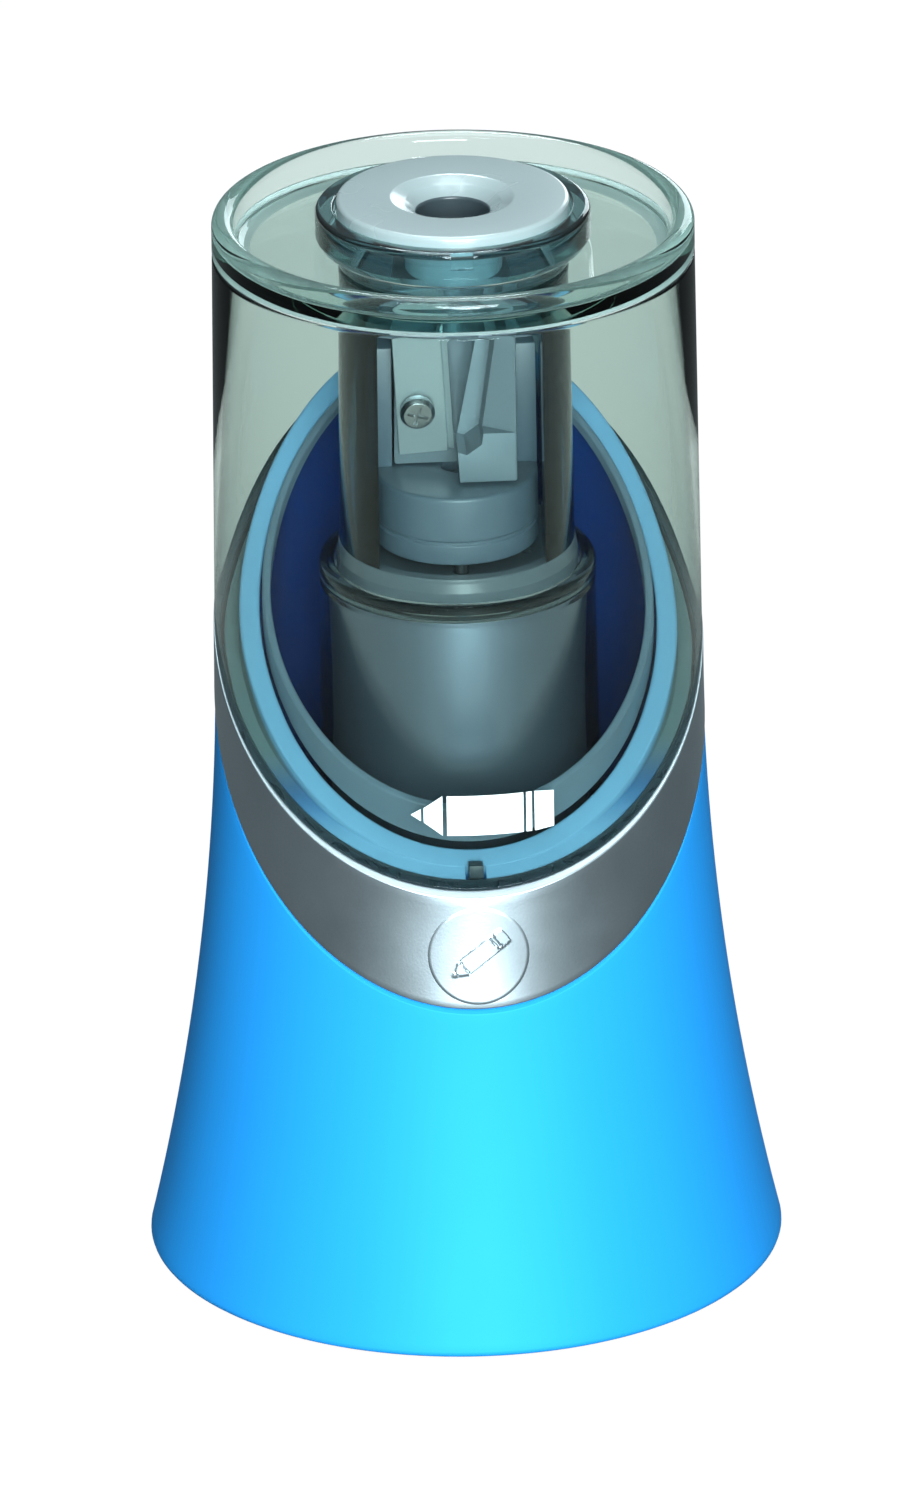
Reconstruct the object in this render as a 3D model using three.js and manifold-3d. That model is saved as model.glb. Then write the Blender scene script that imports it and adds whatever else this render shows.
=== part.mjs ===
// Electric pencil sharpener: a flared base, an oblique trim band, a clear lift-off cover with the
// pencil mouth in its lid, and a motor-driven prism sharpener spinning in a clear tower.
// Millimetres, +Z up, origin at the centre of the resting plane under the feet. The front is -Y.
import * as THREE from 'three';
import { mergeVertices } from 'three/addons/utils/BufferGeometryUtils.js';
import Module from 'manifold-3d';

const wasm = await Module();
wasm.setup();

// ---- driving dimensions -------------------------------------------------------------------------
const SEGMENTS = 36;            // facets round a large body
const GAP = 0.3;                // between touching pieces

const WAIST_R = 30.4;           // outer radius where the flare ends
const WAIST_Z = 80.7;
const FLARE = 660;              // flare: radius grows with the square of the drop below the waist
const TAPER = 0.0107;           // draft of the cover above the waist
const SHELL_BOTTOM = 0.8;
const SHELL_WALL = 2.2;
const LAND_R = 28.6;            // inner radius shared by the shell's neck and the trim band

// oblique planes: height on the axis and rise per millimetre towards the rear
const BAND_LOW = { z: 73.9, rise: 0.908 };
const BAND_TOP = { z: 82.9, rise: 0.759 };
const BOWL_RIM = { z: 86.2, rise: 0.904 };
const LINER_RIM = { z: 88.4, rise: 0.826 };

const BOWL_R = 26.85;           // upstanding wall of the shavings bowl
const BOWL_INNER_R = 24.5;
const BOWL_FLOOR_Z = 47;
const LINER_R = 24.2;
const LINER_INNER_R = 23.2;

const COVER_INNER_R = 28.1;
const SEAM_Z = 133.2;
const RIM_Z = 138.05;
const RIM_INNER_R = 27.3;
const LID_FLOOR_Z = 134.4;
const COLLAR_R = 17.05;
const COLLAR_TOP = 139.2;
const NECK_R = 14.6;
const NECK_BOTTOM = 130.5;
const NECK_INNER_R = 12.7;
const PLATE_R = 14.4;
const PLATE_TOP = 140.3;
const MOUTH_R = 4.5;            // pencil mouth, for pencils up to 8 mm

const TOWER_R = 14.6;
const TOWER_WALL = 1.5;
const TOWER_TOP = 130.2;
const TOWER_FLOOR = 91.3;
const WINDOW_HALF = 10.3;       // half width of the tower's front window
const WINDOW_BOTTOM = 95.1;
const WINDOW_TOP = 127.8;
const RIB_INNER_R = 11.1;

const HOUSING_R = 17.3;
const HOUSING_WALL = 1.5;
const HOUSING_TOP = 92.3;

const MOTOR_R = 13.85;
const MOTOR_BOTTOM = 50.6;
const MOTOR_TOP = 81.6;
const MOTOR_SHAFT_R = 1.15;

const GEAR_MODULE = 0.5;
const SMALL_TEETH = 10;
const LARGE_TEETH = 23;
const IDLER_Y = GEAR_MODULE * (SMALL_TEETH + LARGE_TEETH) / 2;
const STAGE_1 = { bottom: 84.6, top: 87.0 };
const STAGE_2 = { bottom: 87.7, top: 90.5 };

const CARRIER_R = 10.4;         // largest radius of everything that spins in the tower
const CARRIER_BOTTOM = 98.6;
const CARRIER_TOP = 103.6;
const SKIRT_BOTTOM = 94.9;      // skirt of the carrier, round the thrust collar and its spring
const DRIVE_SHAFT_R = 1.5;
const PRISM_BOTTOM = 103.9;
const PRISM_TOP = 130;
const CONE_APEX_Z = 107;
const CONE_SLOPE = Math.tan(11.5 * Math.PI / 180);
const PRESS_PEG_Y = -8;         // peg of the thrust collar, over the start switch's button

const SCREW_CIRCLE = 31;        // bottom plate screws
const FOOT_CIRCLE = 30;
const HOUSING_SCREW_CIRCLE = 21.2;
const SCREW_TURNS = [45, 135, 225, 315];
const FOOT_TURNS = [0, 90, 180, 270];
const HOUSING_TURNS = [90, 210, 330];
const JACK_Z = 14;

// ---- materials ----------------------------------------------------------------------------------
const plain = (color, roughness, metalness = 0) =>
  new THREE.MeshStandardMaterial({ color, roughness, metalness });
const clear = (color, opacity) =>
  new THREE.MeshStandardMaterial({ color, roughness: 0.08, transparent: true, opacity });

const blue = plain(0x1c8fe6, 0.42);
const innerBlue = plain(0x1460b4, 0.3);
const silver = plain(0x9aa3a8, 0.38, 0.85);
const smoke = clear(0xa9c2b8, 0.35);
const smokeLiner = clear(0x8fa39e, 0.5);
const smokeTower = clear(0x72868e, 0.45);
const greyHousing = plain(0x5c6e76, 0.3);
const capGrey = plain(0xa1b4bc, 0.35);
const carrierGrey = plain(0x76889a, 0.4);
const steel = plain(0xb8bcc0, 0.25, 1);
const brass = plain(0xc8a24a, 0.3, 1);
const aluminium = plain(0xc3ccd0, 0.3, 0.9);
const whiteNylon = plain(0xe6e4da, 0.5);
const blackPlastic = plain(0x1d1f22, 0.5);
const boardGreen = plain(0x1f6b3a, 0.5);
const rubber = plain(0x26282a, 0.9);
const redLead = plain(0xb02020, 0.5);

// ---- solids -------------------------------------------------------------------------------------
// A closed geometry as a solid: shared vertices joined, collapsed triangles dropped, faces outward.
function solid(geometry) {
  const bare = geometry.clone();
  bare.deleteAttribute('normal');
  bare.deleteAttribute('uv');
  const merged = mergeVertices(bare, 1e-4);
  const points = merged.attributes.position.array;
  const kept = [];
  let volume = 0;
  const a = new THREE.Vector3();
  const b = new THREE.Vector3();
  const c = new THREE.Vector3();
  const index = merged.index.array;
  for (let i = 0; i < index.length; i += 3) {
    const [p, q, r] = [index[i], index[i + 1], index[i + 2]];
    if (p === q || q === r || r === p) continue;
    kept.push(p, q, r);
    a.fromArray(points, 3 * p);
    b.fromArray(points, 3 * q);
    c.fromArray(points, 3 * r);
    volume += a.dot(b.cross(c));
  }
  if (volume < 0) kept.reverse();
  return new wasm.Manifold(new wasm.Mesh({
    numProp: 3,
    vertProperties: new Float32Array(points),
    triVerts: new Uint32Array(kept),
  }));
}

const join = (...parts) => parts.reduce((whole, part) => whole.add(part));
const cut = (whole, ...tools) => tools.reduce((rest, tool) => rest.subtract(tool), whole);

function toGeometry(manifold) {
  const mesh = manifold.getMesh();
  const geometry = new THREE.BufferGeometry();
  geometry.setAttribute('position', new THREE.BufferAttribute(new Float32Array(mesh.vertProperties), 3));
  geometry.setIndex(new THREE.BufferAttribute(new Uint32Array(mesh.triVerts), 1));
  geometry.computeVertexNormals();
  return geometry;
}

// A profile of [radius, height] pairs turned about +Z; it starts and ends on the axis or closes.
function revolve(profile, segments = SEGMENTS) {
  const closes = profile[0][0] > 0;
  const points = profile.map(([r, z]) => new THREE.Vector2(r, z));
  if (closes) points.push(points[0].clone());
  return solid(new THREE.LatheGeometry(points, segments).rotateX(Math.PI / 2));
}

const disc = (r, low, high, segments = SEGMENTS) =>
  revolve([[0, low], [r, low], [r, high], [0, high]], segments);
const ring = (inner, outer, low, high, segments = SEGMENTS) =>
  revolve([[inner, low], [outer, low], [outer, high], [inner, high]], segments);

function block(x0, x1, y0, y1, z0, z1) {
  const geometry = new THREE.BoxGeometry(x1 - x0, y1 - y0, z1 - z0);
  return solid(geometry.translate((x0 + x1) / 2, (y0 + y1) / 2, (z0 + z1) / 2));
}

// An outline drawn in X and Z, extruded along Y.
function plateXZ(outline, y0, y1) {
  const shape = new THREE.Shape(outline.map(([x, z]) => new THREE.Vector2(x, z)));
  const geometry = new THREE.ExtrudeGeometry(shape, { depth: y1 - y0, bevelEnabled: false });
  return solid(geometry.rotateX(Math.PI / 2).translate(0, y1, 0));
}

// The half space over an oblique plane, as a block larger than the part.
function over(plane, shift = 0) {
  const reach = 400;
  const geometry = new THREE.BoxGeometry(reach, reach, reach).translate(0, 0, reach / 2);
  return solid(geometry.rotateX(Math.atan(plane.rise)).translate(0, 0, plane.z + shift));
}

const under = (whole, plane, shift = 0) => whole.subtract(over(plane, shift));
const at = (manifold, x, y, z = 0) => manifold.translate([x, y, z]);
const polar = (radius, degrees) => {
  const turn = degrees * Math.PI / 180;
  return [radius * Math.cos(turn), radius * Math.sin(turn)];
};

function wire(points, radius, sides, steps) {
  const section = new THREE.Shape();
  for (let i = 0; i < sides; i++) {
    const [x, y] = polar(radius, 360 * i / sides);
    if (i === 0) section.moveTo(x, y);
    else section.lineTo(x, y);
  }
  const extrudePath = new THREE.CatmullRomCurve3(points);
  return solid(new THREE.ExtrudeGeometry(section, { steps, extrudePath, bevelEnabled: false }));
}

function coil(radius, wireRadius, low, high, turns) {
  const points = [];
  const perTurn = 8;
  const base = low + wireRadius;
  const rise = high - low - 2 * wireRadius;
  for (let i = 0; i <= turns * perTurn; i++) {
    const [x, y] = polar(radius, 360 * i / perTurn);
    points.push(new THREE.Vector3(x, y, base + rise * i / (turns * perTurn)));
  }
  return wire(points, wireRadius, 5, turns * perTurn);
}

// Straight-flanked teeth with backlash; the first tooth points along the phase angle.
function gear(teeth, phase, low, high, bore) {
  const pitch = 360 / teeth;
  const root = GEAR_MODULE * (teeth / 2 - 1.2);
  const tip = GEAR_MODULE * (teeth / 2 + 0.85);
  const shape = new THREE.Shape();
  for (let i = 0; i < teeth; i++) {
    const middle = phase + i * pitch;
    const corners = [[root, -0.3], [tip, -0.11], [tip, 0.11], [root, 0.3]];
    corners.forEach(([radius, share], k) => {
      const [x, y] = polar(radius, middle + share * pitch);
      if (i === 0 && k === 0) shape.moveTo(x, y);
      else shape.lineTo(x, y);
    });
  }
  const geometry = new THREE.ExtrudeGeometry(shape, { depth: high - low, bevelEnabled: false });
  const blank = solid(geometry.translate(0, 0, low));
  return bore ? blank.subtract(disc(bore, low - 1, high + 1, 14)) : blank;
}

// A pan-head or flat-head screw standing on its head, the shank upward, with a cross recess.
function screw(headR, headH, shankR, length, z) {
  const body = revolve([[0, z], [headR * 0.8, z], [headR, z + headH * 0.4], [headR, z + headH],
    [shankR, z + headH], [shankR, z + headH + length], [0, z + headH + length]], 12);
  const slot = headR * 0.55;
  const width = headR * 0.12;
  const depth = z + headH * 0.5;
  return cut(body, block(-slot, slot, -width, width, z - 1, depth),
    block(-width, width, -slot, slot, z - 1, depth));
}

const group = new THREE.Group();

function piece(name, manifold, material, parent = group) {
  const mesh = new THREE.Mesh(toGeometry(manifold), material);
  mesh.name = name;
  parent.add(mesh);
  return mesh;
}

// ---- outline of the base and cover --------------------------------------------------------------
function outerRadius(z) {
  const drop = WAIST_Z - z;
  return drop > 0 ? WAIST_R + drop * drop / FLARE : WAIST_R + drop * TAPER;
}

function outlineHeights(low, high, count) {
  const heights = [];
  for (let i = 0; i <= count; i++) heights.push(low + (high - low) * i / count);
  return heights;
}

// ---- base ---------------------------------------------------------------------------------------
function baseShell() {
  const top = 108;
  const heights = [...outlineHeights(SHELL_BOTTOM + 1, WAIST_Z, 6), top];
  const outside = heights.map((z) => [outerRadius(z), z]);
  const inside = [...heights].reverse().map((z) => [Math.max(outerRadius(z) - SHELL_WALL, LAND_R), z]);
  const edge = outerRadius(SHELL_BOTTOM);
  const skin = revolve([[edge - SHELL_WALL, SHELL_BOTTOM], [edge - 0.8, SHELL_BOTTOM], ...outside, ...inside]);
  const posts = [];
  const room = revolve([[0, 2], ...heights.map((z) => [outerRadius(z) - 1, z]), [0, top]]);
  for (const turn of SCREW_TURNS) {
    const [x, y] = polar(SCREW_CIRCLE, turn);
    posts.push(at(disc(3.2, 5, 34, 12), x, y).intersect(room));
  }
  const pilots = SCREW_TURNS.map((turn) => at(disc(1.4, 3, 16, 8), ...polar(SCREW_CIRCLE, turn)));
  const jackHole = solid(new THREE.CylinderGeometry(4.5, 4.5, 20, 24).translate(0, 36, JACK_Z));
  return cut(under(join(skin, ...posts), BAND_LOW, -GAP), jackHole, ...pilots);
}

function trimBand() {
  const heights = outlineHeights(40, 110, 7);
  const outside = heights.map((z) => [outerRadius(z) + 0.15, z]);
  const skin = revolve([[LAND_R, 40], ...outside, [LAND_R, 110]]);
  return under(skin, BAND_TOP).intersect(over(BAND_LOW));
}

function shavingsBowl() {
  const skirt = ring(BOWL_INNER_R, LAND_R - GAP, 37, 112);
  const upstand = ring(BOWL_INNER_R, BOWL_R, 40, 118);
  const wall = join(under(skirt, BAND_TOP, -0.6), under(upstand, BOWL_RIM));
  const floor = ring(HOUSING_R + 0.5, BOWL_INNER_R + 1, BOWL_FLOOR_Z - 2.4, BOWL_FLOOR_Z);
  const keyway = block(-1.3, 1.3, -29, -26.7, 36, 66);
  const pilots = HOUSING_TURNS.map((turn) =>
    at(disc(1.3, 43, BOWL_FLOOR_Z - 0.7, 8), ...polar(HOUSING_SCREW_CIRCLE, turn)));
  return cut(join(wall, floor), keyway, ...pilots);
}

function shavingsLiner() {
  const floorTop = BOWL_FLOOR_Z + GAP + 1.1;
  const sleeve = revolve([[HOUSING_R + 0.6, BOWL_FLOOR_Z + GAP], [LINER_R, BOWL_FLOOR_Z + GAP], [LINER_R, 112],
    [LINER_INNER_R, 112], [LINER_INNER_R, floorTop], [HOUSING_R + 0.6, floorTop]]);
  return under(sleeve, LINER_RIM);
}

function motorHousing() {
  const inner = HOUSING_R - HOUSING_WALL;
  const flangeTop = BOWL_FLOOR_Z - 2.7;
  const body = revolve([[inner, flangeTop - 2], [24, flangeTop - 2], [24, flangeTop], [HOUSING_R + 0.15, flangeTop],
    [HOUSING_R - 0.1, 89.4], [HOUSING_R, 90.4], [HOUSING_R, HOUSING_TOP - 0.5], [HOUSING_R - 0.5, HOUSING_TOP],
    [15.35, HOUSING_TOP], [15.35, 90.6], [inner, 90.2]]);
  const holes = HOUSING_TURNS.map((turn) =>
    at(disc(1.4, 40, flangeTop + 1, 8), ...polar(HOUSING_SCREW_CIRCLE, turn)));
  return cut(body, ...holes);
}

function gearPlate() {
  const plate = disc(HOUSING_R - HOUSING_WALL - GAP, 82.2, 83.6, 40);
  const bores = [[0, 0, 3.4], [0, IDLER_Y, 1.0], [8, -4, 1.25], [-8, -4, 1.25]];
  return cut(plate, ...bores.map(([x, y, r]) => at(disc(r, 80, 86, 16), x, y)));
}

function motorCan() {
  const bore = MOTOR_SHAFT_R + 0.2;
  const can = revolve([[bore, MOTOR_TOP - 1], [bore, MOTOR_TOP + 1.4], [3.0, MOTOR_TOP + 1.4], [3.0, MOTOR_TOP],
    [MOTOR_R - 0.8, MOTOR_TOP], [MOTOR_R, MOTOR_TOP - 0.8], [MOTOR_R, MOTOR_BOTTOM],
    [MOTOR_R - 1, MOTOR_BOTTOM], [MOTOR_R - 1, MOTOR_TOP - 1.2], [bore, MOTOR_TOP - 1.2]]);
  const taps = [8, -8].map((x) => at(disc(1.2, MOTOR_TOP - 3, MOTOR_TOP + 1, 12), x, -4));
  return cut(can, ...taps);
}

function motorEndCap() {
  const cap = revolve([[0, 47.8], [3.2, 47.8], [3.2, 48.6], [MOTOR_R - 0.6, 48.6], [MOTOR_R - 0.6, MOTOR_BOTTOM - GAP],
    [MOTOR_SHAFT_R + 0.3, MOTOR_BOTTOM - GAP], [MOTOR_SHAFT_R + 0.3, 48.9], [0, 48.9]], 32);
  return cut(cap, block(-10.6, -9.4, -1.2, 1.2, 46, 51), block(9.4, 10.6, -1.2, 1.2, 46, 51));
}

const motorTerminal = (x) => block(x - 0.3, x + 0.3, -1, 1, 44.6, 52);

function motorRotor() {
  const shaft = disc(MOTOR_SHAFT_R, 49.2, STAGE_1.top, 20);
  return join(shaft, disc(10.2, 56, 76, 24));
}

function bottomPlate() {
  const plate = revolve([[0, 1.2], [36.2, 1.2], [36.6, 3.6], [0, 3.6]]);
  const holes = SCREW_TURNS.map((turn) => {
    const [x, y] = polar(SCREW_CIRCLE, turn);
    return join(at(disc(1.6, 0, 5, 10), x, y), at(disc(3.3, 0, 2.6, 14), x, y));
  });
  const sockets = FOOT_TURNS.map((turn) => at(disc(4.9, 0, 2, 20), ...polar(FOOT_CIRCLE, turn)));
  return cut(plate, ...holes, ...sockets);
}

function dcJack() {
  const barrel = solid(new THREE.CylinderGeometry(3.9, 3.9, 6, 24).translate(0, 32.2, JACK_Z));
  const bore = solid(new THREE.CylinderGeometry(3.1, 3.1, 12, 24).translate(0, 32, JACK_Z));
  const pin = solid(new THREE.CylinderGeometry(1, 1, 10, 12).translate(0, 29.4, JACK_Z));
  return join(cut(join(block(-4.6, 4.6, 20, 30, 8.7, JACK_Z + 5.2), barrel), bore), pin);
}

piece('base_shell', baseShell(), blue);
piece('trim_band', trimBand(), silver);
piece('shavings_bowl', shavingsBowl(), innerBlue);
piece('shavings_liner', shavingsLiner(), smokeLiner);
piece('bottom_plate', bottomPlate(), blackPlastic);
SCREW_TURNS.forEach((turn, i) =>
  piece(`bottom_screw_${i + 1}`, at(screw(2.8, 1.6, 1.2, 10, 0.8), ...polar(SCREW_CIRCLE, turn)), steel));
FOOT_TURNS.forEach((turn, i) => {
  const foot = revolve([[0, 0], [4.1, 0], [4.5, 0.4], [4.5, 1.7], [0, 1.7]], 18);
  piece(`rubber_foot_${i + 1}`, at(foot, ...polar(FOOT_CIRCLE, turn)), rubber);
});
piece('dc_jack', dcJack(), blackPlastic);
piece('circuit_board', block(-17, 17, -8, 27, 6.8, 8.4), boardGreen);
piece('board_capacitor', at(disc(4, 8.7, 19.5, 20), -10, 4), blackPlastic);

// ---- motor and gears ----------------------------------------------------------------------------
piece('motor_housing', motorHousing(), greyHousing);
HOUSING_TURNS.forEach((turn, i) =>
  piece(`housing_screw_${i + 1}`, at(screw(2.1, 1.5, 1.0, 3.6, 40.5), ...polar(HOUSING_SCREW_CIRCLE, turn)), steel));
piece('gear_plate', gearPlate(), blackPlastic);
piece('motor_can', motorCan(), steel);
piece('motor_end_cap', motorEndCap(), blackPlastic);
piece('motor_terminal_1', motorTerminal(-10), brass);
piece('motor_terminal_2', motorTerminal(10), brass);
piece('motor_rotor', motorRotor(), steel);
[8, -8].forEach((x, i) => {
  const upright = screw(2, 1.2, 0.9, 3.2, 0).rotate([180, 0, 0]);
  piece(`motor_screw_${i + 1}`, at(upright, x, -4, 83.9 + 1.2), steel);
});
const idlerFace = -90;
const centreFace = 90;
const halfLarge = 180 / LARGE_TEETH;
piece('motor_pinion', gear(SMALL_TEETH, centreFace, STAGE_1.bottom, STAGE_1.top, MOTOR_SHAFT_R + 0.15), brass);
const idler = join(gear(LARGE_TEETH, idlerFace + halfLarge, STAGE_1.bottom, STAGE_1.top, 0.95),
  gear(SMALL_TEETH, idlerFace, STAGE_1.top - 0.1, STAGE_2.top, 0.95));
piece('idler_gear', at(idler, 0, IDLER_Y), whiteNylon);
piece('idler_pin', at(disc(0.75, 82.3, 91, 16), 0, IDLER_Y), steel);
piece('output_gear', gear(LARGE_TEETH, centreFace + halfLarge, STAGE_2.bottom, STAGE_2.top, DRIVE_SHAFT_R + 0.15),
  whiteNylon);
piece('drive_shaft', disc(DRIVE_SHAFT_R, 87.8, 102.4, 24), steel);
piece('output_bush', ring(DRIVE_SHAFT_R + 0.2, 3.1, 90.9, 94, 24), brass);

function lead(side) {
  const path = [[10 * side, 0, 44.3], [10 * side, -1, 38], [13 * side, -6, 28], [11 * side, -6, 16], [8 * side, -4, 8.9]];
  return wire(path.map((p) => new THREE.Vector3(...p)), 0.7, 6, 14);
}
piece('lead_red', lead(1), redLead);
piece('lead_black', lead(-1), blackPlastic);

// ---- switches -----------------------------------------------------------------------------------
const startSwitch = cut(block(-4, 4, -13, -6.9, 84.3, 88.7), at(disc(1.15, 87.1, 90, 16), 0, PRESS_PEG_Y));
piece('start_switch', startSwitch, blackPlastic);
piece('start_button', at(disc(0.8, 88.6, 91, 16), 0, PRESS_PEG_Y), capGrey);
piece('interlock_plunger', block(-0.9, 0.9, -27.95, -27.05, 41.2, 60.8), blackPlastic);
piece('interlock_spring', at(coil(0.5, 0.18, 36.9, 40.9, 5), 0, -27.5), steel);
piece('interlock_switch', block(-4, 4, -29.2, -24.4, 31.4, 35.6), blackPlastic);
piece('interlock_lever', block(-2.5, 2.5, -28.6, -26.6, 35.9, 36.6), brass);

// ---- tower and cutter ---------------------------------------------------------------------------
function tower() {
  const inner = TOWER_R - TOWER_WALL;
  const shell = revolve([[3.4, TOWER_FLOOR], [15.05, TOWER_FLOOR], [15.05, TOWER_FLOOR + 1.9],
    [TOWER_R + 0.2, 94.4], [TOWER_R, TOWER_TOP - 1.6], [TOWER_R - 0.5, TOWER_TOP - 0.4], [TOWER_R - 1, TOWER_TOP],
    [inner, TOWER_TOP], [inner, TOWER_FLOOR + 2], [3.4, TOWER_FLOOR + 2]]);
  const barrel = ring(RIB_INNER_R, TOWER_R - 0.5, WINDOW_BOTTOM - 3, TOWER_TOP - 0.4);
  const ribs = [1, -1].map((side) => {
    const edges = [WINDOW_HALF * side, (WINDOW_HALF + 1.6) * side].sort((a, b) => a - b);
    return barrel.intersect(block(...edges, -14, -3, TOWER_FLOOR + 1, TOWER_TOP));
  });
  const opening = block(-WINDOW_HALF, WINDOW_HALF, -17, -7, WINDOW_BOTTOM, WINDOW_TOP);
  const pegHole = at(disc(1.25, 90, 95, 16), 0, PRESS_PEG_Y);
  return cut(join(shell, ...ribs), opening, pegHole);
}

function thrustCollar() {
  const peg = at(disc(0.9, 91.3, 97.2, 16), 0, PRESS_PEG_Y);
  return join(ring(3.5, 9.2, 97, 98.3, 40), peg);
}

// Drum on the drive shaft, with a skirt below, and a back and two arms that hold the prism sharpener.
function cutterCarrier() {
  const drum = disc(CARRIER_R - 0.2, CARRIER_BOTTOM, CARRIER_TOP, 40);
  const skirt = ring(9.65, CARRIER_R - 0.2, SKIRT_BOTTOM, CARRIER_BOTTOM + 0.5, 40);
  const cradle = cut(block(-11, 11, 0.5, 9.6, CARRIER_TOP - 0.2, 119), block(-8, 7.6, 0, 6.2, CARRIER_TOP, 120));
  const body = join(drum, skirt, cradle).intersect(disc(CARRIER_R, SKIRT_BOTTOM, 119, 40));
  return cut(body, disc(DRIVE_SHAFT_R + 0.25, CARRIER_BOTTOM - 1, CARRIER_TOP + 1, 24));
}

// The face that carries the blade lies along the pencil cone, and the blade is skewed a little in it.
const BLADE_FACE = Math.atan(CONE_SLOPE);
const BLADE_SKEW = -3.4;
function inBladeFace(manifold) {
  return manifold.rotate([0, BLADE_SKEW, 0]).rotate([BLADE_FACE * 180 / Math.PI, 0, 0])
    .translate([0, 0, CONE_APEX_Z]);
}

const SCREW_ALONG = 5.6;        // blade screw, measured up the blade face from the apex
function sharpenerBody() {
  const stock = block(-7.7, 7.3, -6.2, 5.8, PRISM_BOTTOM, PRISM_TOP);
  const cone = revolve([[0, CONE_APEX_Z], [(PRISM_TOP + 1 - CONE_APEX_Z) * CONE_SLOPE, PRISM_TOP + 1],
    [0, PRISM_TOP + 1]], 32);
  const bladeSeat = inBladeFace(block(-9, 0, -12, -0.05, -8, 40));
  const chipGuide = new THREE.Shape([[-2.5, -8], [7.4, -8], [7.4, -6.3], [0.6, -2.4], [-2.5, -2.4]]
    .map(([x, y]) => new THREE.Vector2(x, y)));
  const guide = solid(new THREE.ExtrudeGeometry(chipGuide, { depth: 25, bevelEnabled: false })
    .translate(0, 0, 110.3));
  const chipMouth = plateXZ([[-0.3, 108], [1, 107.6], [2.9, 108.9], [4.7, 121.5], [6, PRISM_TOP + 1],
    [-1.9, PRISM_TOP + 1]], -8, 0);
  const tap = inBladeFace(at(solid(new THREE.CylinderGeometry(1.0, 1.0, 7, 12)), -4.6, 2, SCREW_ALONG));
  const grips = [-1, 1].map((side) => {
    const hollow = new THREE.CylinderGeometry(9, 9, 40, 32).translate(side > 0 ? 15.4 : -15.8, 0, 117);
    return solid(hollow);
  });
  return cut(stock, cone, bladeSeat, guide, chipMouth, tap, ...grips);
}

function blade() {
  const plate = block(-7.2, -0.3, -0.85, -0.25, -0.9, 22.4);
  const bevel = solid(new THREE.BoxGeometry(3, 3, 30).rotateZ(-0.42).translate(-0.15, -2.25, 12));
  const hole = at(solid(new THREE.CylinderGeometry(1.25, 1.25, 4, 16)), -4.6, -0.5, SCREW_ALONG);
  return inBladeFace(cut(plate, bevel, hole));
}

function bladeScrew() {
  const upright = screw(2.15, 1.3, 0.8, 3.6, 0).rotate([-90, 0, 0]);
  return inBladeFace(at(upright, -4.6, -2.45, SCREW_ALONG));
}

piece('tower', tower(), smokeTower);
piece('thrust_collar', thrustCollar(), blackPlastic);
piece('return_spring', coil(4.5, 0.35, 93.6, 96.7, 2), steel);
piece('cutter_carrier', cutterCarrier(), carrierGrey);
piece('sharpener_body', sharpenerBody(), aluminium);
piece('sharpener_blade', blade(), steel);
piece('blade_screw', bladeScrew(), steel);

// ---- lift-off cover -----------------------------------------------------------------------------
function coverCylinder() {
  const top = SEAM_Z - 0.1;
  const skin = revolve([[COVER_INNER_R, 50], [WAIST_R, 50], [WAIST_R, WAIST_Z], [outerRadius(top), top],
    [COVER_INNER_R, top]]);
  const key = block(-0.9, 0.9, -28.7, -27.15, 61.2, 65);
  return join(skin.intersect(over(BAND_TOP, 0)), key);
}

function coverLid() {
  const rimR = outerRadius(SEAM_Z);
  return revolve([[NECK_R + 0.35, LID_FLOOR_Z - 1.8], [COVER_INNER_R - GAP, LID_FLOOR_Z - 1.8],
    [COVER_INNER_R - GAP, SEAM_Z + 0.2], [rimR, SEAM_Z + 0.2], [rimR, RIM_Z - 0.9], [rimR - 0.9, RIM_Z],
    [RIM_INNER_R + 0.7, RIM_Z], [RIM_INNER_R, RIM_Z - 0.7], [RIM_INNER_R - 0.3, LID_FLOOR_Z + 1.2],
    [RIM_INNER_R - 1.5, LID_FLOOR_Z], [NECK_R + 0.35, LID_FLOOR_Z]]);
}

function topCollar() {
  const seat = PLATE_TOP - 2.3;
  const body = revolve([[NECK_INNER_R, NECK_BOTTOM], [NECK_R, NECK_BOTTOM], [NECK_R, LID_FLOOR_Z + GAP],
    [COLLAR_R - 0.5, LID_FLOOR_Z + GAP], [COLLAR_R, LID_FLOOR_Z + GAP + 0.5],
    [COLLAR_R, COLLAR_TOP - 0.6], [COLLAR_R - 0.6, COLLAR_TOP],
    [PLATE_R + GAP, COLLAR_TOP], [PLATE_R + GAP, seat - GAP], [NECK_INNER_R, seat - GAP]]);
  return cut(body, block(-1.4, 1.4, -18, -COLLAR_R + 0.5, 137, 140));
}

function capPlate() {
  const bottom = PLATE_TOP - 2.3;
  return revolve([[MOUTH_R, 131.6], [6.2, 131.6], [6.2, bottom], [PLATE_R, bottom], [PLATE_R, PLATE_TOP - 0.5],
    [PLATE_R - 0.5, PLATE_TOP], [7.9, PLATE_TOP], [6.2, PLATE_TOP - 0.35], [MOUTH_R + 0.5, PLATE_TOP - 1],
    [MOUTH_R, PLATE_TOP - 1.9]], 32);
}

piece('cover_cylinder', coverCylinder(), smoke);
piece('cover_lid', coverLid(), smoke);
piece('top_collar', topCollar(), smoke);
piece('cap_plate', capPlate(), capGrey);

export default group;
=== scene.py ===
import math

import bmesh
import bpy
from mathutils import Matrix, Vector


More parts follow.
